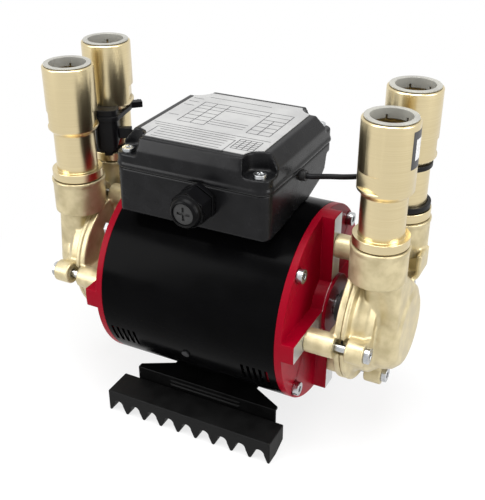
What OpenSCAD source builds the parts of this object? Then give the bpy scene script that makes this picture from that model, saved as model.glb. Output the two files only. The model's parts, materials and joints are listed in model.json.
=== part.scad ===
// Twin-ended shower pump. One motor turns a small brass centrifugal pump on each end of its
// shaft. Water comes in through the two front couplers and leaves through the two back ones.
// X runs along the shaft, the cable gland faces -Y and Z is up. Lengths are in millimetres.
// Most modules are drawn about the middle of the shaft, and place() sets them on the floor.

/* [Motor] */
// Outer radius of the sleeve and of the end bells
motor_r = 61; // [58:0.5:64]
// Length of the sleeve between the two bells
sleeve_l = 115.3; // [112:0.1:122]
// Sheet thickness of the sleeve
sleeve_wall = 1.5; // [1:0.1:2]
// Height of the sleeve's underside above the floor
motor_lift = 24.8; // [24:0.1:28]
// Number of vent slots in each of the four rows
slot_count = 5; // [3:1:6]
// Distance from one vent slot to the next
slot_pitch = 3.9; // [3.4:0.1:4.2]
// Width of one vent slot
slot_w = 1.9; // [1.4:0.1:2.4]

/* [End bells] */
// Thickness of the bell's rim plate
bell_t = 4.5; // [3.5:0.1:6]
// Height of the four ribs above the rim plate
rib_h = 7.65; // [6:0.05:10]
// Width of a rib
rib_w = 12; // [10:0.5:14]
// Radius of the hub in the middle of the bell
hub_r = 19.5; // [18.5:0.5:23]
// How far inside the sleeve's outer face the through bolts lie
bolt_inset = 5.7; // [5.4:0.1:6]
// Radius of a through bolt
bolt_r = 2; // [1.5:0.1:2.2]
// Radius of a through bolt's head
bolt_head_r = 4.2; // [3.6:0.1:4.4]
// Height of a through bolt's head
bolt_head_h = 3.6; // [3:0.1:4]

/* [Rotor and stator] */
// Share of the sleeve's radius that the stator stack fills
stator_share = 0.82; // [0.8:0.005:0.84]
// Length of the stator stack
stator_l = 46; // [40:1:52]
// Share of the stator's radius that its bore takes
bore_share = 0.548; // [0.54:0.002:0.56]
// Number of stator slots
stator_slots = 24; // [12:12:24]
// Radial gap between rotor and stator
air_gap = 0.4; // [0.3:0.05:0.6]
// Radius of the shaft inside the rotor
shaft_r = 7.5; // [7.2:0.1:8.5]
// Radius of the shaft in the bearings
journal_r = 6; // [5.6:0.1:6.2]
// Radius of the shaft under the impeller
shaft_end_r = 5; // [4.5:0.1:5.2]
// Outer radius of a bearing
bearing_r = 16; // [15.6:0.1:16.6]
// Width of a bearing
bearing_w = 10; // [9:0.5:10.5]
// Number of balls in a bearing
ball_count = 8; // [6:1:9]

/* [Pumps] */
// Distance from the bell's machined rib faces to the back plate
pump_gap = 15.2; // [14.5:0.1:18]
// Thickness of the back plate
plate_t = 4; // [3.5:0.1:5]
// Radius of the back plate, of the volute's flange and of the pump screws' circle
pump_r = 41; // [40.5:0.1:42]
// Radius of a pillar that holds the back plate off the bell
pillar_r = 7.2; // [6.8:0.1:7.6]
// Thickness of the volute's flange
flange_t = 3; // [2.6:0.1:3.4]
// Radius of the volute's round body
volute_r = 34; // [33.5:0.1:35]
// Depth of the volute, without its boss
volute_d = 15.6; // [15:0.1:17]
// Radius of the dome over the impeller's eye
boss_r = 27.5; // [26:0.5:28]
// Height of that dome above the volute's face
boss_h = 13.4; // [12.8:0.1:14]
// Radius of the impeller
impeller_r = 28; // [26:0.5:29]
// Width of the impeller over both shrouds
impeller_w = 7; // [6.4:0.1:7.4]
// Number of impeller vanes
vane_count = 6; // [4:1:7]
// Radius of a pump screw
screw_r = 2.4; // [2:0.1:2.4]
// Radius of a pump screw's head
screw_head_r = 4.8; // [4.2:0.1:5]

/* [Spigots] */
// Distance of the coupler axes from the back plate, along the shaft
spigot_dx = 11.6; // [11:0.1:12]
// How far the inlet coupler's axis lies in front of the shaft
inlet_y = 17.2; // [16.5:0.1:18]
// How far the outlet coupler's axis lies behind the shaft
outlet_y = 23.1; // [22.5:0.1:24]
// Outer radius of a spigot
spigot_r = 16.3; // [16:0.1:16.5]
// Height of the spigot's mouth above the shaft
spigot_top = 58.5; // [58:0.1:61]
// Depth of the spigot's cast cup
spigot_h = 22; // [21.5:0.1:22.4]

/* [Couplers] */
// Outer radius of the coupler's stub inside the spigot
stub_r = 13; // [12.8:0.1:13.2]
// Radius of the collar that sits over the spigot
collar_r = 15.9; // [15.2:0.1:16.3]
// Height of the collar
collar_h = 5.3; // [4.5:0.1:6]
// Outer radius of the slim stem
stem_r = 12.75; // [12.4:0.05:13]
// Height of the slim stem above the collar
stem_h = 24; // [23.5:0.1:24.5]
// Outer radius of the wide body
body_r = 15.5; // [15.2:0.1:15.9]
// Height of the wide body, with its taper
body_h = 42.3; // [41.8:0.05:43]
// How much longer the outlet couplers' stems are
outlet_lift = 4.5; // [3:0.1:6]
// Radius of the water way
way_r = 9.8; // [9.4:0.1:10]
// Radius of the socket for the pipe
pipe_socket_r = 11.1; // [11:0.05:11.2]
// Depth of the plain socket under the seals
pipe_socket_l = 15.4; // [14:0.1:16]
// How far a release collet can lift
collet_travel = 1; // [0.5:0.1:1.2]
// How far a flow float can rise
float_travel = 8; // [6:0.5:8.5]

/* [Flow sensors] */
// Width of a flow sensor
sensor_w = 15; // [14:0.5:16]
// Radius of the sensor's outer face about the coupler's axis
sensor_out_r = 24.5; // [23.5:0.1:25]
// Turn of the sensor about the coupler, from the front toward the motor
sensor_turn = 25.6; // [20:0.1:30]
// Length of a flow sensor
sensor_l = 28; // [26:0.5:29]
// Width of a cable tie
tie_w = 3; // [2.4:0.1:3.6]
// Diameter of a sensor lead
lead_d = 3.2; // [2.8:0.1:3.4]

/* [Terminal box] */
// Outside length of the box along the shaft
box_l = 97.3; // [95:0.1:99]
// How far the box's middle lies left of the motor's middle
box_dx = 2.75; // [2.5:0.05:3]
// Distance of the box's front face from the shaft plane
box_front = 46.5; // [45:0.5:48]
// Distance of the lid's back face from the shaft plane
box_back = 48.5; // [47:0.5:49.5]
// How far the box's flat bottom lies below the top of the sleeve
box_sink = 2.9; // [2:0.1:3.5]
// Height of the base, from its flat bottom to the seam with the lid
base_h = 28; // [27:0.1:30]
// Height of the lid's shoulder above the seam
lid_shoulder = 11.4; // [10.5:0.1:12]
// Height of the lid's top above its shoulder
lid_top = 7.4; // [6.5:0.1:8]
// Wall of the box and the lid
box_wall = 2.5; // [2:0.1:2.8]
// Length of the rating plate along the shaft
label_l = 78; // [70:1:79]
// Width of the rating plate
label_w = 80; // [70:1:81]

/* [Cable gland] */
// Place of the gland along the shaft
gland_x = 4.7; // [2:0.1:8]
// Height of the gland's axis above the box's flat bottom
gland_up = 17.5; // [17:0.1:18]
// Width across the flats of the gland's collar
gland_collar_af = 20; // [19:0.5:20.5]
// Width across the flats of the gland's nut
gland_nut_af = 19; // [18:0.5:19.5]
// Length of the nut's hexagon
gland_nut_l = 11; // [10:0.5:12]

/* [Feet] */
// Length of a rubber foot
foot_l = 116.6; // [112:0.1:120]
// Width of a rubber foot
foot_w = 20.7; // [19:0.1:22]
// Height of a rubber foot
foot_h = 15.8; // [15:0.1:16.5]
// Distance of a foot's outer face from the shaft plane
foot_out = 60; // [58:0.5:62]
// Number of teeth on a foot
tooth_count = 10; // [8:1:11]
// Depth of the valleys between teeth
tooth_h = 8.6; // [7:0.1:9]
// Sheet thickness of the foot bracket
bracket_t = 2; // [1.5:0.1:2.2]
// Length of the foot bracket
bracket_l = 100; // [96:1:104]

/* [Hidden] */
$fn = 64;

// One overrun for every cut, one seat gap between fixed pieces and one for a turning fit
cut = 1;
seat = 0.02;
fit = 0.1;
run = 0.3;

// Colours as the photograph shows them
brass_cast = [0.80, 0.75, 0.58];
brass_turned = [0.90, 0.80, 0.58];
crimson = [0.68, 0.05, 0.16];
black = [0.10, 0.10, 0.11];
box_black = [0.14, 0.14, 0.15];
steel = [0.75, 0.76, 0.78];
dark_steel = [0.45, 0.46, 0.48];
copper = [0.72, 0.42, 0.22];
collet_grey = [0.68, 0.67, 0.62];
label_silver = [0.84, 0.84, 0.84];
rubber_black = [0.06, 0.06, 0.06];

// The gland nut is the front end and the bell or the foot the back one, with the origin midway
gland_dome_l = 4.7;
gland_collar_l = 3.5;
gland_lock = 0.3;
gland_end = box_front + gland_collar_l + gland_lock + gland_nut_l + gland_dome_l;
shaft_y = (gland_end - max(foot_out, motor_r)) / 2;
shaft_z = motor_r + motor_lift;

// Stations along the shaft, from its middle outward
sleeve_x = sleeve_l / 2;
rim_x = sleeve_x + bell_t;
rib_x = rim_x + rib_h;
hub_x = rib_x + rib_h / 4;
plate_x = rib_x + pump_gap;
case_x = plate_x + plate_t;
flange_x = case_x + flange_t;
volute_x = case_x + volute_d;
boss_x = volute_x + boss_h;
spigot_x = case_x + spigot_dx;
stator_x = stator_l / 2;

// Bearing, seated in a pocket that leaves part of the rim plate outside it
bearing_skin = 3.65;
bearing_x1 = rim_x - bearing_skin;
bearing_x0 = bearing_x1 - bearing_w;
bearing_bore_r = journal_r + seat;
ball_circle_r = (bearing_r + journal_r) / 2;
ball_share = 0.19;
ball_r = (bearing_r - journal_r) * ball_share;
race_r = ball_r + fit;
race_gap_share = 0.26;
race_gap = (bearing_r - journal_r) * race_gap_share / 2;
housing_wall = 5;
ring_wall = 1.8;
ring_l = 7;
clamp_wall = 4;
bell_hole_r = journal_r + run;

// Through bolts run the length of the motor, and each ends in a nut on the left bell
bolt_angle = 45;
bolt_circle_r = motor_r - bolt_inset;
spot_r = bolt_head_r + run + run;
spot_d = 0.4;
bolt_end_x = rim_x + bolt_head_h;

// Stator and rotor
stator_r = motor_r * stator_share;
stator_bore_r = stator_r * bore_share;
tooth_tip_h = 2.6;
tooth_root_r = stator_bore_r + tooth_tip_h;
slot_back_share = 0.32;
slot_back_r = stator_r - (stator_r - stator_bore_r) * slot_back_share;
slot_open_w = 1.8;
stator_slot_w = tooth_root_r * PI / stator_slots;
winding_gap = 0.3;
winding_l = 15;
rotor_r = stator_bore_r - air_gap;
rotor_x = stator_x - fit;
cage_inset = 3.5;
cage_r = rotor_r - cage_inset;
cage_bar_r = 1.8;
cage_bars = 12;
cage_l = 6.5;
cage_inner_r = 15;

// Pump casing
pillar_setback = 2;
pillar_end = case_x - pillar_setback;
notch_r = 5;
lug_x = flange_x + pillar_setback;
lug_r = 7;
web_w = 8;
web_h = 5;
plate_hub_r = 17;
plate_hub_h = 6.5;
plate_hub_x = plate_x - plate_hub_h;
chamfer_d = 3.6;
chamfer_x = volute_x - chamfer_d;
chamfer_w = 3;
face_r = volute_r - chamfer_w;
chamber_gap = 3;
chamber_r = impeller_r + chamber_gap;
impeller_gap = 2;
impeller_x = case_x + impeller_gap;
eye_gap = 1.5;
chamber_x = impeller_x + impeller_w + eye_gap;
eye_r = 10.5;
boss_wall = 4.5;
boss_edge = 4.5;
boss_drop = 3;
dome_sides = 48;
cove_w = 1.5;
neck_r = 8;
flank_r = 8.8;
lug_web = 10;
boss_bore_r = 13;
ear_out = 0.5;
way_cast_r = 6.3;
outlet_cast_r = 6;
outlet_cast_dx = 6.2;
outlet_cast_x = case_x + outlet_cast_dx;
outlet_cast_z = 8;
gasket_inset = 7;
gasket_r = pump_r - gasket_inset;
gasket_w = 2;
gasket_d = 0.8;
shroud_t = 1.2;
vane_t = 1.4;
vane_sweep = 75;
vane_steps = 8;
impeller_hub_r = 8;
nut_af = 13;
nut_h = 4;
shaft_end_x = impeller_x + impeller_w + nut_h;

// Shaft seal
seal_r = 12;
seal_seat_l = 5;
seal_bore_r = 7;
seal_head_r = 10;
seal_recess = 2;
seal_x = case_x - seal_recess;
slinger_r = 10;
slinger_t = 2.6;
slinger_gap = 2.2;
slinger_x = hub_x + slinger_gap;

// Pump screws
screw_head_h = 3;
screw_tip_gap = 1.8;
screw_tip_x = rim_x + screw_tip_gap;
screw_recess_r = 2.2;

// Spigots and couplers
spigot_z0 = spigot_top - spigot_h;
spigot_rim_h = 2;
spigot_rim = 0.5;
socket_d = 11;
socket_z = spigot_top - socket_d;
stub_gap = 0.1;
stub_step = 0.8;
stub_rest = 0.5;
stub_z = socket_z + stub_rest;
collar_z = spigot_top + stub_step;
stem_z = collar_z + collar_h;
taper_h = 3.2;
edge = 0.6;
lip_l = 2;
lip_w = 2.3;
lip_r = pipe_socket_r + lip_w;
seal_room_w = 2.8;
seal_room_r = pipe_socket_r + seal_room_w;
seal_room_l = 15.5;
o_ring_r = 1.2;
grab_t = 0.6;
grab_gap = 0.3;
grab_teeth = 16;
collet_wall_r = lip_r - run;
collet_play = 0.05;
collet_bore_r = pipe_socket_r + collet_play;
collet_inset = 1.2;
collet_flange_r = body_r - collet_inset;
collet_flange_h = 0.9;
collet_rest = 0.15;
barb_play = 0.2;
barb_r = seal_room_r - barb_play;
barb_h = 2;
barb_gap = 0.1;
collet_slots = 6;
collet_slot_w = 1;
groove_d = 1.5;
groove_w = 2;
groove_up = 3;
groove_z = stub_z + groove_up;
flat_h = 9.5;
flat_depth = 2.2;
flat_up = 1.5;
flat_turn = 63.4;
flat_front_turn = 26;

// Flow float, seated in the outlet's stem
seat_r = 8;
float_seat_up = 0.4;
float_seat_z = stem_z + float_seat_up;
float_z = float_seat_z + run;
float_play = 0.4;
float_r = way_r - float_play;
float_l = 14.5;
float_flutes = 4;
flute_r = 2.2;
stop_t = 1;
stop_z = float_z + float_l + float_travel + fit;
stop_lip = 0.5;

// Flow sensor and tie
sensor_up = 4.4;
sensor_z = stem_z + sensor_up;
sensor_gap = 0.3;
sensor_inner_r = stem_r + sensor_gap;
sensor_step_r = body_r + sensor_gap;
sensor_ring_r = 15.3;
sensor_ring_h = 3.3;
sensor_ring_up = 0.5;
sensor_ring_z = stem_z + sensor_ring_up;
tie_t = 1.1;
tie_up = 25.4;
tie_z = stem_z + tie_up;
tie_head_turn = 134;
tie_head_l = 5;
tie_head_d = 7.4;
tie_tail_l = 8;
sensor_corner = 4;
plug_l = 8;
plug_h = 7;
plug_t = 4.4;
plug_r = 16.8;
plug_up = 15.4;
plug_z = stem_z + plug_up;
plug_hole_d = 4.5;

// Each sensor lead leaves the box straight, bends in a few steps and enters the plug straight.
// A step is a share of the way along X, along Y and in height.
lead_out = 2;
lead_plugged = 3.5;
lead_sides = 8;
lead_shares = [[0.1, 0.05, 0.1], [0.24, 0.22, 0.35], [0.42, 0.42, 0.6], [0.62, 0.6, 0.8],
    [0.8, 0.8, 0.95], [0.92, 0.95, 1]];
grommet_r = 3.2;
grommet_l = 3;
grommet_up = 22.9;

// Terminal box
box_x0 = -box_dx - box_l / 2;
box_x1 = -box_dx + box_l / 2;
box_corner = 7;
box_draft = 1;
saddle_gap = 0.3;
box_bottom = motor_r - box_sink;
box_seam = box_bottom + base_h;
grommet_z = box_bottom + grommet_up;
gland_z = box_bottom + gland_up;
back_curve = 7.5;
base_back = box_back - back_curve;
rim_h = 6;
base_back_shares = [[0.2, 0.33], [0.73, 1.3], [0.9, 2.1]];
seam_gap = 0.5;
lid_slope_x = 5.6;
lid_slope_front = 2.8;
lid_slope_back = 3.9;
lid_rim_out = 0.7;
lid_rim_h = 2.2;
corner_notch_r = 9.5;
notch_floor = 3;
post_inset_x = 7.2;
post_inset_y = 5.5;
post_r = 4.6;
post_l = 16;
lid_screw_r = 1.9;
lid_screw_head_r = 3.7;
lid_screw_head_h = 2.3;
lid_screw_l = 20;
label_t = 0.4;
label_gap = 1.2;
lid_z = box_seam + lid_shoulder;
lid_top_z = lid_z + lid_top;
cap_r = 13;
cap_l = 55;
cap_y = 15;
cap_lift = 4;
cap_z = motor_r + box_wall + cap_lift + cap_r;
cradle_share = 0.8;
cradle_t = 3;
block_l = 42;
block_w = 16;
block_h = 14;
block_y = -sqrt((motor_r + box_wall + saddle_gap) ^ 2 - (box_bottom + box_wall) ^ 2) - run
    - block_w / 2;
block_ways = 5;
block_lift = 1.2;
block_hole_r = 2;

// Gland
gland_thread_r = 8;
gland_thread_in = 5;
gland_mouth_r = 6.3;
insert_r = 6.1;
insert_out = 1;
dome_shares = [[0.95, 0.5], [0.84, 0.85], [0.72, 1]];
insert_slot = 1.6;
insert_slot_l = 8;

// Feet and bracket
foot_dx = 2.25;
foot_tip_w = 1.6;
foot_valley_r = 3.3;
foot_rise = 4;
foot_flat_w = 10;
foot_in = foot_out - foot_w;
foot_top = -shaft_z + foot_h;
plate_gap = 0.2;
plate_top = -motor_r - plate_gap;
plate_bottom = plate_top - bracket_t;
skirt_y = foot_in - run;
bracket_neck = 60;
neck_share = 0.62;
lip_drop = 4.5;
lip_z = foot_top - lip_drop;
bracket_lip_l = 12;
bracket_lip_gap = 0.2;
emboss_l = 50;
emboss_h = 1.4;
emboss_t = 0.6;
foot_screw_x = 18;
foot_screw_r = 2;
foot_screw_head_r = 3.8;
foot_screw_head_h = 2.2;
foot_screw_up = 6;
foot_nut_h = 2.6;

// Sleeve details
vent_drop = 24;
vent_sweep = 14;
vent_left_inset = 11.65;
vent_left_x = vent_left_inset - sleeve_x;
vent_right_inset = 13.65;
vent_right_x = sleeve_x - vent_right_inset;
shell_screw_x = -2.3;
shell_screw_turn = 203;
shell_head_r = 2.5;
shell_head_h = 1;
shell_nut_h = 2.4;

module place() { translate([0, shaft_y, shaft_z]) children(); }
module on_side(side) { mirror([side < 0 ? 1 : 0, 0, 0]) children(); }
module both_sides() { for (side = [-1, 1]) on_side(side) children(); }
module around(count, start = 0) {
    for (i = [0:count - 1]) rotate([start + i * 360 / count, 0, 0]) children();
}

// A round bar along X, a tube along X, an upright round bar and a plain block
module rod(r, x0, x1, y = 0, z = 0) {
    translate([x0, y, z]) rotate([0, 90, 0]) cylinder(r = r, h = x1 - x0);
}
module tube(outer, inner, x0, x1) {
    difference() {
        rod(outer, x0, x1);
        rod(inner, x0 - cut, x1 + cut);
    }
}
module post(r, z0, z1, x = 0, y = 0) { translate([x, y, z0]) cylinder(r = r, h = z1 - z0); }
module block(x0, x1, y0, y1, z0, z1) {
    translate([x0, y0, z0]) cube([x1 - x0, y1 - y0, z1 - z0]);
}

// A flat outline in Y and Z drawn out along X, and one in X and Z drawn out along Y
module along_x(x0, x1) {
    translate([x0, 0, 0]) rotate([90, 0, 90]) linear_extrude(x1 - x0) children();
}
module along_y(y0, y1) {
    translate([0, y1, 0]) rotate([90, 0, 0]) linear_extrude(y1 - y0) children();
}
module rounded_rect(x0, x1, y0, y1, r) {
    translate([x0 + r, y0]) square([x1 - x0 - r - r, y1 - y0]);
    translate([x0, y0 + r]) square([x1 - x0, y1 - y0 - r - r]);
    for (x = [x0 + r, x1 - r], y = [y0 + r, y1 - r]) translate([x, y]) circle(r);
}
module hex_bar(across_flats, h) { cylinder(r = across_flats / sqrt(3), h = h, $fn = 6); }

// Vent slots are cut by thin discs seen through a wedge of the sleeve
module vent_row(middle_x) {
    first_x = middle_x - (slot_count - 1) * slot_pitch / 2;
    for (i = [0:slot_count - 1], turn = [180 + vent_drop, -vent_drop]) rotate([turn, 0, 0])
        translate([first_x + i * slot_pitch - slot_w / 2, 0, 0])
            intersection() {
                rod(motor_r + cut, 0, slot_w);
                rotate([-vent_sweep / 2, 0, 0]) block(0, slot_w, 0, motor_r * 2, 0, motor_r);
                rotate([vent_sweep / 2, 0, 0]) block(0, slot_w, 0, motor_r * 2, -motor_r, 0);
            }
}

module shell_screw_hole(r) {
    rotate([shell_screw_turn, 0, 0]) translate([shell_screw_x, motor_r, 0])
        rotate([90, 0, 0]) cylinder(r = r, h = motor_r - stator_r, center = true);
}

module motor_shell() place() color(black) difference() {
    tube(motor_r, motor_r - sleeve_wall, -sleeve_x, sleeve_x);
    vent_row(vent_left_x);
    vent_row(vent_right_x);
    shell_screw_hole(shell_head_r / 2 + fit);
    for (x = [-foot_screw_x, foot_screw_x])
        post(foot_screw_r + fit, -motor_r - cut, -motor_r + sleeve_wall + cut, x);
}

// Small screw low on the sleeve's front, held by a nut inside
module shell_screw() place() color(dark_steel) rotate([shell_screw_turn, 0, 0])
    translate([shell_screw_x, 0, 0]) rotate([-90, 0, 0]) {
        inner = motor_r - sleeve_wall - run;
        post(shell_head_r, motor_r, motor_r + shell_head_h);
        post(shell_head_r / 2, inner - shell_nut_h, motor_r);
        difference() {
            post(shell_head_r, inner - shell_nut_h, inner);
            post(shell_head_r / 2 + seat, inner - shell_nut_h - cut, inner + cut);
        }
    }

module stator_core() place() color(dark_steel) difference() {
    rod(stator_r, -stator_x, stator_x);
    rod(stator_bore_r, -stator_x - cut, stator_x + cut);
    around(stator_slots) {
        block(-stator_x - cut, stator_x + cut, 0, tooth_root_r + cut, -slot_open_w / 2,
            slot_open_w / 2);
        block(-stator_x - cut, stator_x + cut, tooth_root_r, slot_back_r, -stator_slot_w / 2,
            stator_slot_w / 2);
    }
}

// Copper in the slots, joined by a ring of end turns at each end
module stator_windings() place() color(copper) {
    both_sides() tube(slot_back_r - winding_gap, tooth_root_r + winding_gap,
        stator_x + winding_gap, stator_x + winding_l);
    around(stator_slots) block(-stator_x - winding_l / 2, stator_x + winding_l / 2,
        tooth_root_r + winding_gap, slot_back_r - winding_gap,
        winding_gap - stator_slot_w / 2, stator_slot_w / 2 - winding_gap);
}

module bell_bolt_holes(x0, x1, r) {
    around(4, bolt_angle) rod(r, x0, x1, bolt_circle_r);
}
module screw_holes(x0, x1, r) { around(4) rod(r, x0, x1, pump_r); }

// Rim plate with a cross of ribs outside, and inside it a spigot ring for the sleeve, a
// ring that clamps the stator and the housing of the bearing
module end_bell(side) {
    ring_r = motor_r - sleeve_wall - fit;
    place() on_side(side) color(crimson) difference() {
        union() {
            rod(motor_r, sleeve_x, rim_x);
            rod(hub_r, rim_x, hub_x);
            intersection() {
                rod(motor_r, sleeve_x, rib_x);
                for (a = [0, 90]) rotate([a, 0, 0])
                    block(sleeve_x, rib_x, -motor_r, motor_r, -rib_w / 2, rib_w / 2);
            }
            tube(ring_r, ring_r - ring_wall, sleeve_x - ring_l, sleeve_x + bell_t / 2);
            tube(stator_r, stator_r - clamp_wall, stator_x, sleeve_x + bell_t / 2);
            rod(bearing_r + housing_wall, bearing_x0 - housing_wall / 4, sleeve_x + bell_t / 2);
        }
        rod(bearing_r + seat, bearing_x0 - housing_wall, bearing_x1);
        rod(bell_hole_r, bearing_x0, hub_x + cut);
        bell_bolt_holes(stator_x - cut, rim_x + cut, bolt_r + fit);
        bell_bolt_holes(rim_x - spot_d, rim_x + cut, spot_r);
        screw_holes(screw_tip_x - run, rib_x + cut, screw_r + seat);
    }
}
module end_bell_left() end_bell(-1);
module end_bell_right() end_bell(1);

// Four bolts with their heads on the right bell and nuts on the left one
module through_bolts() place() color(steel) {
    head_x = rim_x - spot_d;
    around(4, bolt_angle) translate([0, bolt_circle_r, 0]) {
        difference() {
            union() {
                rod(bolt_r, -bolt_end_x, head_x);
                rod(bolt_head_r, head_x, bolt_end_x);
            }
            rotate([0, 90, 0]) translate([0, 0, bolt_end_x - bolt_head_h / 2])
                cylinder(r = bolt_head_r / 2, h = bolt_head_h, $fn = 6);
        }
        translate([-head_x - bolt_head_h, 0, 0]) rotate([0, 90, 0]) difference() {
            cylinder(r = bolt_head_r, h = bolt_head_h, $fn = 6);
            translate([0, 0, -cut]) cylinder(r = bolt_r + seat, h = bolt_head_h + cut + cut);
        }
    }
}

// Stepped shaft: thick in the rotor, thinner in the bearings and thinnest in the impellers
module motor_shaft() place() color(steel) {
    rod(shaft_r, -bearing_x0 + run, bearing_x0 - run);
    both_sides() {
        rod(journal_r, 0, impeller_x);
        rod(shaft_end_r, 0, shaft_end_x);
    }
}

module rotor_core() place() color(dark_steel) difference() {
    rod(rotor_r, -rotor_x, rotor_x);
    rod(shaft_r + seat, -rotor_x - cut, rotor_x + cut);
    around(cage_bars) rod(cage_bar_r + seat, -rotor_x - cut, rotor_x + cut, cage_r);
}

// Aluminium bars through the rotor, joined by a ring at each end
module rotor_cage() place() color("silver") {
    around(cage_bars) rod(cage_bar_r, -rotor_x - cage_l / 2, rotor_x + cage_l / 2, cage_r);
    both_sides() tube(rotor_r - fit, cage_inner_r, rotor_x, rotor_x + cage_l);
}

// A race is a ring with a round groove for the balls
module race(inner, outer) {
    both_sides() rotate([0, 90, 0]) rotate_extrude() difference() {
        translate([inner, bearing_x0]) square([outer - inner, bearing_w]);
        translate([ball_circle_r, bearing_x0 + bearing_w / 2]) circle(race_r);
    }
}
module bearing_outer_rings() place() color(steel) race(ball_circle_r + race_gap, bearing_r);
module bearing_inner_rings() place() color(steel) race(bearing_bore_r, ball_circle_r - race_gap);
module bearing_balls() place() color(steel) both_sides() around(ball_count)
    translate([bearing_x0 + bearing_w / 2, ball_circle_r, 0]) sphere(r = ball_r);

// Round plate on four pillars that stand on the bell's ribs, with webs to its seal hub
module back_plate(side) {
    place() on_side(side) color(brass_cast) difference() {
        union() {
            rod(pump_r, plate_x, case_x);
            around(4) rod(pillar_r, rib_x, pillar_end, pump_r);
            rod(plate_hub_r, plate_hub_x, plate_x + plate_t / 2);
            around(4) block(plate_x - web_h, plate_x + plate_t / 2, 0, pump_r, -web_w / 2,
                web_w / 2);
        }
        rod(seal_bore_r + fit, plate_hub_x - cut, case_x + cut);
        rod(seal_r, seal_x - seal_seat_l, case_x + cut);
        screw_holes(rib_x - cut, case_x + cut, screw_r + fit);
        screw_holes(pillar_end, case_x + cut, notch_r);
        tube(gasket_r + gasket_w + seat, gasket_r - seat, case_x - gasket_d, case_x + cut);
    }
}
module back_plate_left() back_plate(-1);
module back_plate_right() back_plate(1);

module casing_gaskets() place() color(rubber_black)
    both_sides() tube(gasket_r + gasket_w, gasket_r, case_x - gasket_d, case_x);

// A cast cup for a coupler, with a slightly wider rim
module spigot(y) {
    post(spigot_r, spigot_z0, spigot_top, spigot_x, y);
    post(spigot_r + spigot_rim, spigot_top - spigot_rim_h, spigot_top, spigot_x, y);
}
// Neck from the outlet cup down to the round body, and the slimmer column under the inlet cup
module outlet_neck() {
    hull() {
        post(spigot_r - boss_edge, spigot_z0, spigot_z0 + boss_edge, spigot_x, outlet_y,
            $fn = 32);
        rod(spigot_r - boss_edge, case_x + flange_t, chamfer_x, outlet_y, volute_r / 2,
            $fn = 32);
    }
}
module inlet_column() {
    hull() {
        post(neck_r, spigot_z0, spigot_z0 + boss_edge, spigot_x + boss_edge / 2, -inlet_y,
            $fn = 32);
        rod(neck_r, chamfer_x - boss_edge, volute_x, -inlet_y, $fn = 32);
    }
}
// Dome over the way from the inlet cup to the impeller's eye
module eye_boss() {
    hull() {
        rod(boss_r, chamfer_x, boss_x - boss_edge * 2, 0, -boss_drop, $fn = dome_sides);
        rod(boss_r - boss_edge / 3, chamfer_x, boss_x - boss_edge, 0, -boss_drop,
            $fn = dome_sides);
        rod(boss_r - boss_edge, chamfer_x, boss_x - boss_edge / 4, 0, -boss_drop,
            $fn = dome_sides);
        rod(boss_r - boss_edge * 3 / 2, chamfer_x, boss_x, 0, -boss_drop, $fn = dome_sides);
    }
    hull() {
        rod(boss_r - boss_edge, volute_x, boss_x - boss_edge / 3, $fn = 32);
        post(flank_r, spigot_z0, spigot_z0 + boss_edge, spigot_x + spigot_r - flank_r - cove_w,
            -inlet_y, $fn = 32);
    }
}
// Open ear beside the outlet cup
module ear() {
    ear_r = spigot_r - way_r;
    ear_x = boss_x + ear_out - ear_r;
    ear_z = spigot_z0 - ear_r + ear_out;
    difference() {
        along_y(outlet_y - spigot_r, outlet_y) {
            translate([ear_x, ear_z]) circle(ear_r);
            translate([ear_x - ear_r, ear_z]) square([ear_r * 2, spigot_h / 2]);
        }
        along_y(outlet_y - spigot_r - cut, outlet_y - spigot_r / 2) {
            translate([ear_x - cut, ear_z]) circle(ear_r - pillar_setback);
            translate([ear_x - cut - ear_r, ear_z])
                square([ear_r * 2 - pillar_setback, spigot_h]);
        }
    }
}

// Brass casting with two upright cups, a round impeller chamber and an eye boss
module volute(side) {
    place() on_side(side) color(brass_cast) difference() {
        union() {
            rotate([0, 90, 0]) rotate_extrude() polygon([[0, case_x], [pump_r, case_x],
                [pump_r, flange_x], [volute_r + cove_w, flange_x + cove_w / 2],
                [volute_r, flange_x + cove_w * 2], [volute_r, chamfer_x], [face_r, volute_x],
                [0, volute_x]]);
            eye_boss();
            inlet_column();
            outlet_neck();
            spigot(-inlet_y);
            spigot(outlet_y);
            ear();
            around(4) {
                rod(lug_r, lug_x, volute_x, pump_r);
                block(lug_x, volute_x, 0, pump_r, -lug_web / 2, lug_web / 2);
            }
        }
        rod(chamber_r, case_x - cut, chamber_x);
        rod(eye_r, case_x, volute_x + cut);
        rod(boss_bore_r, volute_x, boss_x - boss_wall);
        for (y = [-inlet_y, outlet_y]) post(stub_r + stub_gap, socket_z, spigot_top + cut,
            spigot_x, y);
        cast_way(way_cast_r, [spigot_x + boss_edge / 2, -inlet_y, socket_z + cut],
            [boss_x - boss_wall - way_cast_r / 2, -way_cast_r, boss_bore_r - way_cast_r / 2]);
        cast_way(outlet_cast_r, [spigot_x, outlet_y, socket_z + cut],
            [outlet_cast_x, outlet_y - cut, outlet_cast_z]);
        screw_holes(case_x - cut, boss_x, screw_r + run);
        screw_holes(case_x - cut, lug_x, notch_r);
        screw_holes(volute_x, boss_x + cut + cut, screw_head_r + run);
        rod(pump_r + run, plate_x - pump_gap, case_x);
        rod(pillar_r + run, rib_x, lug_x, 0, pump_r);
    }
}
// A straight cast passage between two points
module cast_way(r, from, to) {
    way = to - from;
    translate(from) rotate([0, acos(way[2] / norm(way)), atan2(way[1], way[0])])
        cylinder(r = r, h = norm(way));
}
module volute_left() volute(-1);
module volute_right() volute(1);

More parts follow.
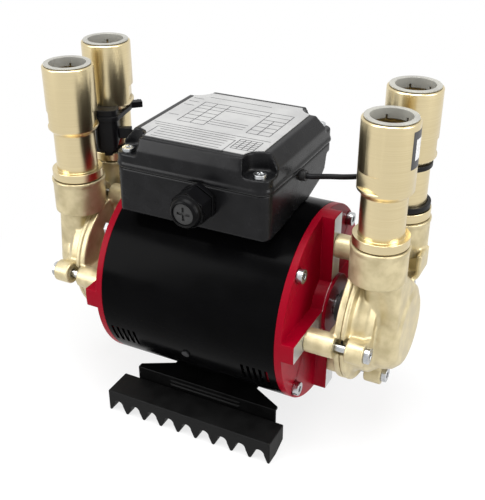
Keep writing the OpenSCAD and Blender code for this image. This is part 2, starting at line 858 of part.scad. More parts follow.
module pump_screws(side) {
    place() on_side(side) color(steel) around(4) difference() {
        union() {
            rod(screw_r, screw_tip_x, volute_x, pump_r);
            rod(screw_head_r, volute_x, volute_x + screw_head_h, pump_r);
        }
        translate([volute_x + screw_head_h / 2, pump_r, 0]) rotate([0, 90, 0])
            cylinder(r = screw_recess_r, h = screw_head_h, $fn = 6);
    }
}
module pump_screws_left() pump_screws(-1);
module pump_screws_right() pump_screws(1);

// One vane's outline: an arc that sweeps back as it goes outward
function vane_point(t, offset) = let (
    r = impeller_hub_r - cut + (impeller_r - impeller_hub_r) * t + offset * cos(vane_sweep),
    a = vane_sweep * t) [r * cos(a) - offset * sin(a), r * sin(a) + offset * cos(a)];
module vane() {
    polygon(concat([for (i = [0:vane_steps]) vane_point(i / vane_steps, 0)],
        [for (i = [vane_steps:-1:0]) vane_point(i / vane_steps, vane_t)]));
}
// Closed impeller: two shrouds with swept vanes between them, open at the eye
module impeller(side) {
    x1 = impeller_x + impeller_w;
    place() on_side(side) color(black) difference() {
        union() {
            rod(impeller_r, impeller_x, impeller_x + shroud_t);
            tube(impeller_r, eye_r, x1 - shroud_t, x1);
            rod(impeller_hub_r, impeller_x, x1 - seat);
            translate([impeller_x + shroud_t / 2, 0, 0]) rotate([0, 90, 0])
                linear_extrude(impeller_w - shroud_t)
                    for (i = [0:vane_count - 1]) rotate(i * 360 / vane_count) vane();
        }
        rod(shaft_end_r + seat, impeller_x - cut, x1 + cut);
    }
}
module impeller_left() impeller(-1);
module impeller_right() impeller(1);

module impeller_nuts() place() color(steel) both_sides() difference() {
    translate([impeller_x + impeller_w, 0, 0]) rotate([0, 90, 0]) hex_bar(nut_af, nut_h);
    rod(shaft_end_r + seat, impeller_x, shaft_end_x + cut);
}

module seal_seats() place() color("whitesmoke")
    both_sides() tube(seal_r - seat, seal_bore_r, seal_x - seal_seat_l, seal_x);
module seal_heads() place() color(dark_steel) both_sides()
    tube(seal_head_r, journal_r + seat, seal_x + fit, impeller_x);
module water_slingers() place() color(rubber_black) both_sides()
    tube(slinger_r, journal_r + seat, slinger_x, slinger_x + slinger_t);

// Heights up an inlet or outlet coupler
function taper_z(lift) = stem_z + stem_h + lift;
function mouth_z(lift) = taper_z(lift) + body_h;
function room_z(lift) = mouth_z(lift) - seal_room_l;
function stop_edge(lift) = room_z(lift) - pipe_socket_l;

// Turned brass coupler: stub, collar, slim stem and a wide body that takes the pipe
module coupler(side, y, lift, low_r, turn) {
    taper = taper_z(lift);
    mouth = mouth_z(lift);
    place() on_side(side) translate([spigot_x, y, 0]) color(brass_turned) difference() {
        rotate_extrude() polygon([[low_r, stub_z], [stub_r, stub_z],
            [stub_r, groove_z], [stub_r - groove_d, groove_z],
            [stub_r - groove_d, groove_z + groove_w], [stub_r, groove_z + groove_w],
            [stub_r, collar_z], [collar_r, collar_z], [collar_r, stem_z], [stem_r, stem_z],
            [stem_r, taper], [body_r, taper + taper_h], [body_r, mouth - edge],
            [body_r - edge, mouth], [lip_r, mouth], [lip_r, mouth - lip_l],
            [seal_room_r, mouth - lip_l], [seal_room_r, room_z(lift)],
            [pipe_socket_r, room_z(lift)], [pipe_socket_r, stop_edge(lift)],
            [way_r, stop_edge(lift)], [way_r, float_seat_z], [low_r, float_seat_z]]);
        if (lift > 0) translate([0, 0, stop_z]) rotate_extrude()
            translate([way_r - cut, 0]) square([cut + stop_lip + seat, stop_t]);
        // Two flats for a spanner
        rotate(-side * turn) for (face = [-1, 1])
            translate([-body_r, face > 0 ? body_r - flat_depth : -body_r - cut,
                taper + taper_h + flat_up])
                cube([body_r * 2, flat_depth + cut, flat_h]);
    }
}
module inlet_coupler_left() coupler(-1, -inlet_y, 0, way_r - seat, flat_turn);
module inlet_coupler_right() coupler(1, -inlet_y, 0, way_r - seat, flat_front_turn);
module outlet_coupler_left() coupler(-1, outlet_y, outlet_lift, seat_r, flat_turn);
module outlet_coupler_right() coupler(1, outlet_y, outlet_lift, seat_r, flat_turn);

// Release collet: a flange over the mouth, a slotted sleeve and a barb that keeps it in
module collet(side, y, lift) {
    mouth = mouth_z(lift);
    low = mouth - lip_l - barb_gap - collet_travel - barb_h;
    flange = mouth + collet_rest;
    place() on_side(side) translate([spigot_x, y, 0]) color(collet_grey) difference() {
        rotate_extrude() polygon([[collet_bore_r, low], [barb_r, low],
            [barb_r, low + barb_h], [collet_wall_r, low + barb_h], [collet_wall_r, flange],
            [collet_flange_r, flange], [collet_flange_r, flange + collet_flange_h],
            [collet_bore_r, flange + collet_flange_h]]);
        for (i = [0:collet_slots / 2 - 1]) rotate(i * 360 / collet_slots)
            translate([-seal_room_r, -collet_slot_w / 2, low - cut])
                cube([seal_room_r * 2, collet_slot_w, mouth - lip_l - low]);
    }
}
module inlet_collet_left() collet(-1, -inlet_y, 0);
module inlet_collet_right() collet(1, -inlet_y, 0);
module outlet_collet_left() collet(-1, outlet_y, outlet_lift);
module outlet_collet_right() collet(1, outlet_y, outlet_lift);

// The same small ring in each of the four couplers
module in_each_coupler() {
    place() both_sides() {
        translate([spigot_x, -inlet_y, 0]) children(0);
        translate([spigot_x, outlet_y, outlet_lift]) children(0);
    }
}
module pipe_o_rings() color(rubber_black) in_each_coupler()
    translate([0, 0, room_z(0) + o_ring_r]) rotate_extrude()
        translate([collet_bore_r + o_ring_r, 0]) circle(o_ring_r);
// Steel ring with inward teeth that grips the pipe, with a split so that it can spring
module grab_rings() color(steel) in_each_coupler()
    translate([0, 0, room_z(0) + o_ring_r * 2 + grab_gap]) difference() {
        cylinder(r = barb_r, h = grab_t);
        translate([0, 0, -cut]) cylinder(r = collet_bore_r + run, h = grab_t + cut + cut);
        for (i = [0:grab_teeth - 1]) rotate(i * 360 / grab_teeth)
            translate([0, -collet_slot_w / 2, -cut])
                cube([i > 0 ? barb_r - o_ring_r : seal_room_r, collet_slot_w,
                    grab_t + cut + cut]);
    }
module spigot_o_rings() color(rubber_black) place() both_sides()
    for (y = [-inlet_y, outlet_y]) translate([spigot_x, y, groove_z + groove_w / 2])
        rotate_extrude() translate([stub_r - groove_d / 2, 0]) circle(groove_d / 2);

// Fluted float with a magnet, lifted by the flow
module flow_float(side) {
    place() on_side(side) translate([spigot_x, outlet_y, float_z]) color("white") difference() {
        cylinder(r = float_r, h = float_l);
        for (i = [0:float_flutes - 1]) rotate(i * 360 / float_flutes)
            translate([float_r, 0, -cut]) cylinder(r = flute_r, h = float_l + cut + cut);
    }
}
module flow_float_left() flow_float(-1);
module flow_float_right() flow_float(1);
module float_stop_rings() color(steel) place() both_sides()
    translate([spigot_x, outlet_y, stop_z]) difference() {
        cylinder(r = way_r + stop_lip, h = stop_t);
        translate([0, 0, -cut]) cylinder(r = seat_r, h = stop_t + cut + cut);
    }

// Turns a piece about an outlet coupler, so that its own +X points outward from it
module at_sensor(side, turn) {
    place() on_side(side) translate([spigot_x, outlet_y, 0]) rotate(-90 - turn) children();
}
// Outline of the sensor seen from the front of its outer face, with a half-round bottom
module sensor_outline() {
    translate([0, sensor_w / 2]) circle(sensor_w / 2);
    translate([-sensor_w / 2, sensor_w / 2]) square([sensor_w, sensor_l - sensor_w / 2]);
}
// Its plan, with two round outer corners, drawn out by gap on every side
module sensor_plan(gap) {
    far = sensor_out_r - sensor_corner;
    half = sensor_w / 2 - sensor_corner;
    translate([0, -sensor_w / 2 - gap]) square([far, sensor_w + gap * 2]);
    translate([0, -half]) square([sensor_out_r + gap, half * 2]);
    for (v = [-half, half]) translate([far, v]) circle(sensor_corner + gap);
}
// Magnet switch beside the stem, with a flat plug on its side and a ring round the stem
module flow_sensor(side) {
    taper = taper_z(outlet_lift);
    color(black) at_sensor(side, sensor_turn) {
        difference() {
            union() {
                intersection() {
                    translate([0, 0, sensor_z]) rotate([90, 0, 90])
                        linear_extrude(sensor_out_r) sensor_outline();
                    translate([0, 0, sensor_z]) linear_extrude(sensor_l) sensor_plan(0);
                }
                block(plug_r - plug_t / 2, plug_r + plug_t / 2, -sensor_w / 2 - plug_l, 0,
                    plug_z - plug_h / 2, plug_z + plug_h / 2);
            }
            post(sensor_inner_r, sensor_z - cut, sensor_z + sensor_l + cut);
            post(sensor_step_r, taper - run, taper + sensor_l);
            translate([plug_r, plug_hole_d - sensor_w / 2 - plug_l, plug_z]) rotate([90, 0, 0])
                cylinder(r = lead_d / 2 + run, h = plug_hole_d + cut);
        }
        difference() {
            union() {
                post(sensor_ring_r, sensor_ring_z, sensor_ring_z + sensor_ring_h);
                block(sensor_inner_r, sensor_out_r - sensor_w / 4, -sensor_w / 6, sensor_w / 6,
                    sensor_ring_z, sensor_z + sensor_w / 2);
            }
            post(sensor_inner_r, sensor_ring_z - cut, sensor_z + sensor_w);
        }
    }
}
module flow_sensor_left() flow_sensor(-1);
module flow_sensor_right() flow_sensor(1);

// Band pulled round the coupler and the sensor, with its head and its cut tail
module tie_loop(gap) {
    hull() {
        circle(stem_r + gap, $fn = 48);
        sensor_plan(gap);
    }
}
module cable_ties() color(black) for (side = [-1, 1]) at_sensor(side, sensor_turn)
    translate([0, 0, tie_z]) {
        linear_extrude(tie_w) difference() {
            tie_loop(fit + tie_t);
            tie_loop(fit);
        }
        rotate(-tie_head_turn + sensor_turn) {
            translate([stem_r + fit + tie_t / 2, -tie_head_l / 2, -tie_t / 2])
                cube([tie_head_d, tie_head_l, tie_w + tie_t]);
            translate([stem_r + tie_head_d - tie_t, -tie_tail_l, tie_t])
                cube([tie_t, tie_tail_l, tie_w - tie_t * 2]);
        }
    }

// A round cord swept along its route: a ring of points square to the route at each point
function unit(v) = v / norm(v);
function heading(p, i) = unit(p[min(i + 1, len(p) - 1)] - p[max(i - 1, 0)]);
function ring(c, d, r, n) = let (u = unit(cross([0, 0, 1], d)), v = cross(d, u))
    [for (k = [0:n - 1]) c + r * (cos(360 * k / n) * u + sin(360 * k / n) * v)];
module cord(route, r, n) {
    last = len(route) - 1;
    polyhedron(
        points = [for (i = [0:last]) each ring(route[i], heading(route, i), r, n)],
        faces = concat([[for (k = [0:n - 1]) k]],
            [for (i = [0:last - 1], k = [0:n - 1])
                [i * n + k, (i + 1) * n + k, i * n + (k + 1) % n]],
            [for (i = [0:last - 1], k = [0:n - 1])
                [(i + 1) * n + k, (i + 1) * n + (k + 1) % n, i * n + (k + 1) % n]],
            [[for (k = [n - 1:-1:0]) last * n + k]]));
}
// Point on the axis of the plug's hole, v from the sensor's middle plane
function plug_point(v) = [spigot_x - plug_r * sin(sensor_turn) + v * cos(sensor_turn),
    outlet_y - plug_r * cos(sensor_turn) - v * sin(sensor_turn), plug_z];
function lead_route(box_end) = let (
    a = [box_end + grommet_l + run, 0, grommet_z],
    b = plug_point(-sensor_w / 2 - plug_l - lead_out))
    [[box_end - box_wall, 0, grommet_z], a,
        for (share = lead_shares)
            [for (k = [0:2]) a[k] + (b[k] - a[k]) * share[k]],
        b, plug_point(lead_plugged - sensor_w / 2 - plug_l)];
module sensor_lead_left() place() on_side(-1) color(black)
    cord(lead_route(-box_x0), lead_d / 2, lead_sides);
module sensor_lead_right() place() color(black)
    cord(lead_route(box_x1), lead_d / 2, lead_sides);

// Rubber bush in each end wall of the box, round the lead
module lead_grommets() place() color(rubber_black) {
    for (x = [box_x0 - grommet_l, box_x1 - box_wall]) difference() {
        rod(grommet_r, x, x + box_wall + grommet_l, 0, grommet_z);
        rod(lead_d / 2 + run, x - cut, x + box_wall + grommet_l + cut, 0, grommet_z);
    }
}

// Side view of the base, drawn in by inset on every side for its inside
function base_outline(inset) = [
    [-box_front + inset, box_seam - seam_gap],
    [-box_front + box_draft + inset, box_bottom + inset],
    for (share = base_back_shares)
        [base_back * share[0] - inset * share[0], box_bottom + rim_h * share[1] + inset],
    [base_back - inset, box_seam - seam_gap]];
module lid_posts(r, z0, z1) {
    for (x = [box_x0 + post_inset_x, box_x1 - post_inset_x],
        y = [-box_front + post_inset_y, box_back - post_inset_y]) post(r, z0, z1, x, y);
}
module box_column(inset, z0, z1) {
    translate([0, 0, z0]) linear_extrude(z1 - z0) rounded_rect(box_x0 + inset, box_x1 - inset,
        -box_front + inset, box_back - inset, box_corner - inset);
}

// Open box that sits over the top of the sleeve
module terminal_box_base() {
    top = box_seam - seam_gap;
    place() color(box_black) difference() {
        union() {
            difference() {
                intersection() {
                    along_x(box_x0, box_x1) polygon(base_outline(0));
                    box_column(0, box_bottom - cut, top);
                }
                intersection() {
                    along_x(box_x0 + box_wall, box_x1 - box_wall)
                        polygon(base_outline(box_wall));
                    box_column(box_wall, box_bottom, top + cut);
                }
                translate([0, 0, top - cut]) linear_extrude(cut * 2) rounded_rect(
                    box_x0 + box_wall, box_x1 - box_wall, -box_front + box_wall,
                    base_back - box_wall, box_corner - box_wall);
            }
            intersection() {
                rod(motor_r + box_wall + saddle_gap, box_x0, box_x1);
                along_x(box_x0, box_x1) polygon(base_outline(0));
                box_column(0, box_bottom - cut, top);
            }
            difference() {
                box_column(0, top - rim_h, top);
                block(box_x0 - cut, box_x1 + cut, -box_front - cut, base_back - box_wall,
                    top - rim_h - cut, top + cut);
            }
            intersection() {
                lid_posts(post_r, top - post_l, top);
                box_column(0, top - post_l, top);
            }
            intersection() {
                for (x = [-1, 1]) translate([-box_dx + x * cap_l / 3, 0, 0]) cradle();
                along_x(box_x0, box_x1) polygon(base_outline(0));
            }
        }
        rod(motor_r + saddle_gap, box_x0 - cut, box_x1 + cut);
        rod(cap_r + fit, -box_dx - cap_l / 2, -box_dx + cap_l / 2, cap_y, cap_z);
        lid_posts(lid_screw_r + seat, top - post_l + box_wall, top + cut);
        translate([gland_x, cut - box_front + box_wall + box_draft, gland_z])
            rotate([90, 0, 0]) cylinder(r = gland_thread_r + seat, h = box_wall + cut * 3);
        rod(grommet_r + seat, box_x0 - cut, box_x1 + cut, 0, grommet_z);
    }
}
// One of the two ribs that carry the capacitor
module cradle() {
    block(-cradle_t / 2, cradle_t / 2, cap_y - cap_r, cap_y + cap_r * cradle_share, motor_r - cut,
        cap_z - cap_r / 2);
}

function lid_side(inset) = [[-box_front + inset, box_seam], [-box_front + inset, lid_z - inset],
    [-box_front + lid_slope_front + inset, lid_top_z - inset],
    [box_back - lid_slope_back - inset, lid_top_z - inset],
    [box_back - inset, lid_z - inset], [box_back - inset, box_seam]];
function lid_front(inset) = [[box_x0 + inset, box_seam], [box_x0 + inset, lid_z - inset],
    [box_x0 + lid_slope_x + inset, lid_top_z - inset],
    [box_x1 - lid_slope_x - inset, lid_top_z - inset],
    [box_x1 - inset, lid_z - inset], [box_x1 - inset, box_seam]];
module lid_form(inset) {
    difference() {
        intersection() {
            along_x(box_x0, box_x1) polygon(lid_side(inset));
            along_y(-box_front, box_back) polygon(lid_front(inset));
            box_column(inset, box_seam, lid_top_z);
        }
        lid_posts(corner_notch_r + inset, lid_z - notch_floor - inset, lid_top_z + cut);
    }
}
// Deep lid with a raised middle and four corner wells for its screws
module terminal_box_lid() place() color(box_black) difference() {
    union() {
        difference() {
            union() {
                lid_form(0);
                box_column(-lid_rim_out, box_seam, box_seam + lid_rim_h);
            }
            translate([0, 0, -seam_gap]) lid_form(box_wall);
        }
        intersection() {
            lid_posts(post_r, box_seam, lid_z - notch_floor);
            box_column(0, box_seam, lid_z);
        }
    }
    lid_posts(lid_screw_r + fit, box_seam - cut, lid_z);
    translate([gland_x, -box_front, gland_z]) rotate([90, 0, 0])
        cylinder(r = gland_collar_af / sqrt(3) + run, h = box_wall, center = true);
}
module lid_gasket() place() color(rubber_black) difference() {
    box_column(seam_gap, box_seam - seam_gap, box_seam);
    translate([0, 0, box_seam - cut]) linear_extrude(cut * 2)
        rounded_rect(box_x0 + box_wall, box_x1 - box_wall, -box_front + box_wall,
            base_back - box_wall, box_corner - box_wall);
    lid_posts(lid_screw_r + fit, box_seam - cut, lid_z);
}
module lid_screws() place() color(steel) difference() {
    head_z = lid_z - notch_floor;
    union() {
        lid_posts(lid_screw_head_r, head_z, head_z + lid_screw_head_h);
        lid_posts(lid_screw_r, head_z - lid_screw_l, head_z + lid_screw_head_h / 2);
    }
    for (a = [0, 90]) for (x = [box_x0 + post_inset_x, box_x1 - post_inset_x],
        y = [-box_front + post_inset_y, box_back - post_inset_y]) translate([x, y, head_z])
            rotate(a) translate([-lid_screw_r, -lid_screw_r / 4, lid_screw_head_h / 2])
                cube([lid_screw_r * 2, lid_screw_r / 2, lid_screw_head_h]);
}
// Blank plate, scooped out round the corner wells
module rating_plate() {
    middle = (box_back - lid_slope_back - box_front + lid_slope_front) / 2;
    place() color(label_silver) difference() {
        block(-box_dx - label_l / 2, -box_dx + label_l / 2, middle - label_w / 2,
            middle + label_w / 2, lid_top_z, lid_top_z + label_t);
        lid_posts(corner_notch_r + label_gap, lid_top_z - cut, lid_top_z + label_t + cut);
    }
}

// Pieces of the gland lie along its own axis, which points out of the box's front
module at_gland(out) {
    place() translate([gland_x, -box_front - out, gland_z]) rotate([90, 0, 0]) children();
}
module gland_body() color(black) at_gland(0) difference() {
    union() {
        rotate(30) hex_bar(gland_collar_af, gland_collar_l);
        translate([0, 0, -gland_thread_in])
            cylinder(r = gland_thread_r, h = gland_thread_in + gland_collar_l + gland_nut_l / 2);
    }
    translate([0, 0, -gland_thread_in - cut])
        cylinder(r = gland_mouth_r, h = gland_thread_in + gland_collar_l + gland_nut_l);
}
// Hexagon nut with a domed outer end
module gland_nut() {
    flat_r = gland_nut_af / 2;
    color(black) at_gland(gland_collar_l + gland_lock) difference() {
        union() {
            rotate(30) hex_bar(gland_nut_af, gland_nut_l);
            rotate_extrude() polygon([[0, gland_nut_l - cut], [flat_r, gland_nut_l - cut],
                [flat_r, gland_nut_l], for (share = dome_shares)
                    [flat_r * share[0], gland_nut_l + gland_dome_l * share[1]],
                [0, gland_nut_l + gland_dome_l]]);
        }
        translate([0, 0, -cut]) cylinder(r = gland_thread_r + seat, h = gland_nut_l + cut);
        cylinder(r = gland_mouth_r, h = gland_nut_l + gland_dome_l + cut);
    }
}
// Soft bung that closes the gland, with a cross recess
module gland_insert() {
    z0 = gland_collar_l;
    z1 = gland_collar_l + gland_lock + gland_nut_l + gland_dome_l - insert_out;
    color(rubber_black) at_gland(0) difference() {
        translate([0, 0, z0]) cylinder(r = insert_r, h = z1 - z0);
        for (a = [0, 90]) rotate(a) translate([-insert_slot_l / 2, -insert_slot / 2, z1 - cut])
            cube([insert_slot_l, insert_slot, cut * 2]);
    }
}

module capacitor() place() color("gainsboro") {
    rod(cap_r, -box_dx - cap_l / 2, -box_dx + cap_l / 2, cap_y, cap_z);
    for (y = [-1, 1]) rod(lid_screw_r, -box_dx, -box_dx + cap_l / 2 + post_r,
        cap_y + y * cap_r / 3, cap_z);
}
module terminal_block() {
    block_z = box_bottom + box_wall + block_lift;
    place() color("ivory") translate([-box_dx, block_y, block_z]) difference() {
        translate([-block_l / 2, -block_w / 2, 0]) cube([block_l, block_w, block_h]);
        for (i = [0:block_ways - 1]) {
            x = (i - (block_ways - 1) / 2) * block_l / block_ways;
            translate([x, 0, block_h / 2]) cylinder(r = block_hole_r, h = block_h);
            translate([x, block_w, block_h / 3]) rotate([90, 0, 0])
                cylinder(r = block_hole_r, h = block_w * 2);
        }
    }
}

// Pressed steel bracket: a plate under the sleeve, with a skirt and a turned-out lip that
// holds each foot
module foot_bracket() {
    hx = bracket_l / 2;
    nx = bracket_neck / 2;
    wide_y = skirt_y - bracket_t * 2;
    neck_y = skirt_y * neck_share;
    place() color(black) difference() {
        union() {
            translate([0, 0, plate_bottom]) linear_extrude(bracket_t) polygon([
                [-hx, -skirt_y], [hx, -skirt_y], [hx, -wide_y], [nx, -neck_y], [nx, neck_y],
                [hx, wide_y], [hx, skirt_y], [-hx, skirt_y], [-hx, wide_y], [-nx, neck_y],
                [-nx, -neck_y], [-hx, -wide_y]]);
            for (face = [-1, 1]) {
                y0 = face > 0 ? skirt_y - bracket_t : -skirt_y;
                block(-hx, hx, y0, y0 + bracket_t, lip_z - bracket_t, plate_top);
                block(-hx + bracket_t, hx - bracket_t, face > 0 ? skirt_y - bracket_t :
                    -skirt_y - bracket_lip_l, face > 0 ? skirt_y + bracket_lip_l :
                    bracket_t - skirt_y, lip_z - bracket_t, lip_z);
                for (k = [1, 3]) block(-emboss_l / 2, emboss_l / 2,
                    face > 0 ? skirt_y - bracket_t : -skirt_y - emboss_t,
                    face > 0 ? skirt_y + emboss_t : bracket_t - skirt_y,
                    foot_top + k * emboss_h, foot_top + k * emboss_h + emboss_h);
            }
        }
        for (x = [-foot_screw_x, foot_screw_x])
            post(foot_screw_r + fit, plate_bottom - cut, plate_top + cut, x);
    }
}
// Two screws up into the sleeve, each with a nut inside it
module foot_bracket_screws() place() color(steel) for (x = [-foot_screw_x, foot_screw_x]) {
    inner = -sqrt((motor_r - sleeve_wall) ^ 2 - foot_screw_head_r ^ 2);
    post(foot_screw_head_r, plate_bottom - foot_screw_head_h, plate_bottom, x);
    post(foot_screw_r, plate_bottom - cut / 2, plate_bottom + foot_screw_up + bracket_t, x);
    difference() {
        post(foot_screw_head_r, inner + run, inner + run + foot_nut_h, x, $fn = 6);
        post(foot_screw_r + seat, inner - cut, inner + foot_nut_h + cut, x);
    }
}

// End view of a foot: flat outer part to stand on, rising toward the inner edge
module rubber_foot(face) {
    half = foot_l / 2;
    pitch = (foot_l - foot_tip_w) / (tooth_count - 1);
    valley_z = -shaft_z + tooth_h - foot_valley_r;
    half_valley = (pitch - foot_tip_w) / 2;
    place() mirror([0, face > 0 ? 1 : 0, 0]) translate([-foot_dx, 0, 0])
        color(rubber_black) difference() {
            along_x(-half, half) polygon([[-foot_out, -shaft_z], [-foot_out, foot_top],
                [-foot_in, foot_top], [-foot_in, -shaft_z + foot_rise],
                [-foot_out + foot_flat_w, -shaft_z]]);
            for (i = [0:tooth_count - 2]) {
                x = -half + foot_tip_w / 2 + (i + 0.5) * pitch;
                along_y(-foot_out - cut, -foot_in + cut) {
                    translate([x, valley_z]) circle(foot_valley_r);
                    polygon([[x - foot_valley_r, valley_z], [x + foot_valley_r, valley_z],
                        [x + half_valley, -shaft_z], [x + half_valley, -shaft_z - cut],
                        [x - half_valley, -shaft_z - cut], [x - half_valley, -shaft_z]]);
                }
            }
            block(foot_dx - bracket_l / 2 + bracket_t - bracket_lip_gap,
                foot_dx + bracket_l / 2 - bracket_t + bracket_lip_gap,
                -skirt_y - bracket_lip_l - bracket_lip_gap, -foot_in + cut,
                lip_z - bracket_t - bracket_lip_gap, lip_z + bracket_lip_gap);
        }
}
module rubber_foot_front() rubber_foot(-1);
module rubber_foot_back() rubber_foot(1);

motor_shell();
shell_screw();
stator_core();
stator_windings();
end_bell_left();
end_bell_right();
through_bolts();
motor_shaft();
rotor_core();
rotor_cage();
bearing_outer_rings();
bearing_inner_rings();
bearing_balls();
back_plate_left();
back_plate_right();
volute_left();
volute_right();
casing_gaskets();
pump_screws_left();
pump_screws_right();
impeller_left();
impeller_right();
impeller_nuts();
seal_seats();
seal_heads();
water_slingers();
inlet_coupler_left();
inlet_coupler_right();
outlet_coupler_left();
outlet_coupler_right();
inlet_collet_left();
inlet_collet_right();
outlet_collet_left();
outlet_collet_right();
pipe_o_rings();
grab_rings();
spigot_o_rings();
flow_float_left();
flow_float_right();
float_stop_rings();
flow_sensor_left();
flow_sensor_right();
cable_ties();
sensor_lead_left();
sensor_lead_right();
lead_grommets();
terminal_box_base();
terminal_box_lid();
lid_gasket();
lid_screws();
rating_plate();
gland_body();
gland_nut();
gland_insert();
capacitor();
terminal_block();
foot_bracket();
foot_bracket_screws();
rubber_foot_front();
rubber_foot_back();
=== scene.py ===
import json
import math
import bmesh
import bpy
import numpy as np
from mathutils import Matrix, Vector

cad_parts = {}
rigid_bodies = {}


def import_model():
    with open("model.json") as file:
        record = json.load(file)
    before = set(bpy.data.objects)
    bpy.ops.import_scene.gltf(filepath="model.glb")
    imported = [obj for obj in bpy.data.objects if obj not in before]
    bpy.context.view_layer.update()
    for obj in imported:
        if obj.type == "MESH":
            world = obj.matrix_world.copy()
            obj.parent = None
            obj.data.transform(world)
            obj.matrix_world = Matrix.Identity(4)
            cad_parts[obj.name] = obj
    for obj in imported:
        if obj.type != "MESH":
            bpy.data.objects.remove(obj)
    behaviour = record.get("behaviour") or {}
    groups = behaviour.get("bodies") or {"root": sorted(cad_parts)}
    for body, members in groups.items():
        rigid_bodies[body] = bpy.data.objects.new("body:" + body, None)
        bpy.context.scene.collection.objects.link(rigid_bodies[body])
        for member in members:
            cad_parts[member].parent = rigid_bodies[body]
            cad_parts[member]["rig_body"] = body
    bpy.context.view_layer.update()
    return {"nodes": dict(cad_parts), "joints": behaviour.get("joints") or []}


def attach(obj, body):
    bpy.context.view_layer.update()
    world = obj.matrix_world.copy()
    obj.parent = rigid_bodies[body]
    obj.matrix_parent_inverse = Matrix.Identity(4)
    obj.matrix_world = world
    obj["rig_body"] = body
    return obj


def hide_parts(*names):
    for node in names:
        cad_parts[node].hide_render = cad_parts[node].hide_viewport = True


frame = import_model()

MM = 0.001
shaft = Vector(next(j["pos_m"] for j in frame["joints"] if j["name"] == "shaft_spin"))
camera_offset = Vector((215.4, -413.87, 281.08)) * MM
camera_azimuth = 26.641
camera_elevation = 29.221
focal_share = 848.7 / 500
near_clip = 0.01

camera_data = bpy.data.cameras.new("camera")
camera_data.sensor_width = 36
camera_data.lens = camera_data.sensor_width * focal_share
camera_data.clip_start = near_clip
camera = bpy.data.objects.new("camera", camera_data)
camera.location = shaft + camera_offset
camera.rotation_euler = (math.radians(90 - camera_elevation), 0, math.radians(camera_azimuth))
bpy.context.scene.collection.objects.link(camera)
bpy.context.scene.camera = camera
bpy.context.scene.view_settings.view_transform = "Standard"

# Sensor leads: two round black cables, held at the box by a rubber bush and at the sensor by
# its plug. Each is one smooth tube along the same points as its solid in the frame: straight
# through the bush, then sagging forward in shares of the way to the plug.
lead_radius = 1.6 * MM
lead_sides = 20
lead_steps = 8
box_ends = {"right": 45.9, "left": 51.4}
box_wall = 2.5
bush_out = 3.3
bush_height = 81
plug_mouth = np.array((77.559, 15.511, 80))
plug_end = np.array((82.519, 13.134, 80))
lead_shares = [(0.1, 0.05, 0.1), (0.24, 0.22, 0.35), (0.42, 0.42, 0.6), (0.62, 0.6, 0.8),
               (0.8, 0.8, 0.95), (0.92, 0.95, 1)]


def lead_route(side):
    """Points from inside the box wall to inside the plug. The left lead mirrors the right."""
    bush = np.array((box_ends[side] + bush_out, 0, bush_height))
    points = [(box_ends[side] - box_wall, 0, bush_height), bush]
    points += [bush + (plug_mouth - bush) * np.array(share) for share in lead_shares]
    route = np.array(points + [plug_mouth, plug_end], float)
    return route * ((-1, 1, 1) if side == "left" else (1, 1, 1))


def smooth_route(points, steps):
    """A Catmull-Rom curve through the points: each stretch is the cubic whose slope at a
    point is half the way from the point before to the point after."""
    p = np.array([points[0]] + list(points) + [points[-1]], float)
    t = np.linspace(0, 1, steps, endpoint=False)[:, None]
    parts = [0.5 * (2 * p[i] + (p[i + 1] - p[i - 1]) * t
                    + (2 * p[i - 1] - 5 * p[i] + 4 * p[i + 1] - p[i + 2]) * t ** 2
                    + (3 * p[i] - p[i - 1] - 3 * p[i + 1] + p[i + 2]) * t ** 3)
             for i in range(1, len(p) - 2)]
    return np.vstack(parts + [p[-1:]])


def surface_piece(name, grid, body, wrap=True, caps=False):
    """A mesh from a grid of points: rows run along the piece and columns round it. With wrap
    the last column joins the first, and caps close the two ends with one face each."""
    rows, cols = grid.shape[:2]
    r, c = np.meshgrid(np.arange(rows - 1), np.arange(cols if wrap else cols - 1), indexing="ij")
    n = (c + 1) % cols
    quads = np.stack([r * cols + c, r * cols + n, (r + 1) * cols + n, (r + 1) * cols + c], -1)
    faces = quads.reshape(-1, 4).tolist()
    if caps:
        faces.append(list(range(cols))[::-1])
        faces.append([(rows - 1) * cols + k for k in range(cols)])
    mesh = bpy.data.meshes.new(name)
    mesh.from_pydata(grid.reshape(-1, 3).tolist(), [], faces)
    mesh.update()
    mesh.shade_smooth()
    piece = bpy.data.objects.new(name, mesh)
    bpy.context.scene.collection.objects.link(piece)
    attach(piece, body)
    return piece


def tube_grid(route, radius, sides):
    """Rings of points round a route: each ring lies square to the way the route runs there."""
    way = np.gradient(route, axis=0)
    way /= np.linalg.norm(way, axis=1, keepdims=True)
    side = np.cross((0, 0, 1.0), way)
    side /= np.linalg.norm(side, axis=1, keepdims=True)
    up = np.cross(way, side)
    turn = np.linspace(0, 2 * np.pi, sides, endpoint=False)[None, :, None]
    return route[:, None] + radius * (np.cos(turn) * side[:, None] + np.sin(turn) * up[:, None])


lead_pieces = []
for lead_side in box_ends:
    lead_node = "sensor_lead_" + lead_side
    lead_path = smooth_route(lead_route(lead_side), lead_steps) * MM + np.array(shaft)
    lead = surface_piece(lead_node + "_cable", tube_grid(lead_path, lead_radius, lead_sides),
                         "pump_body", caps=True)
    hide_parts(lead_node)
    lead_pieces.append(lead)

# Floor and light: a white floor that only keeps the pump's soft shadow, and three large
# lamps like a product photographer's: one overhead, one at the right and one at the left.
floor_half = 4.0
shadow_near = 0.13
shadow_far = 0.30
shadow_clear = 0.78
floor_mesh = bpy.data.meshes.new("floor")
floor_mesh.from_pydata([(-floor_half, -floor_half, 0), (floor_half, -floor_half, 0),
                        (floor_half, floor_half, 0), (-floor_half, floor_half, 0)],
                       [], [(0, 1, 2, 3)])
floor = bpy.data.objects.new("floor", floor_mesh)
bpy.context.scene.collection.objects.link(floor)


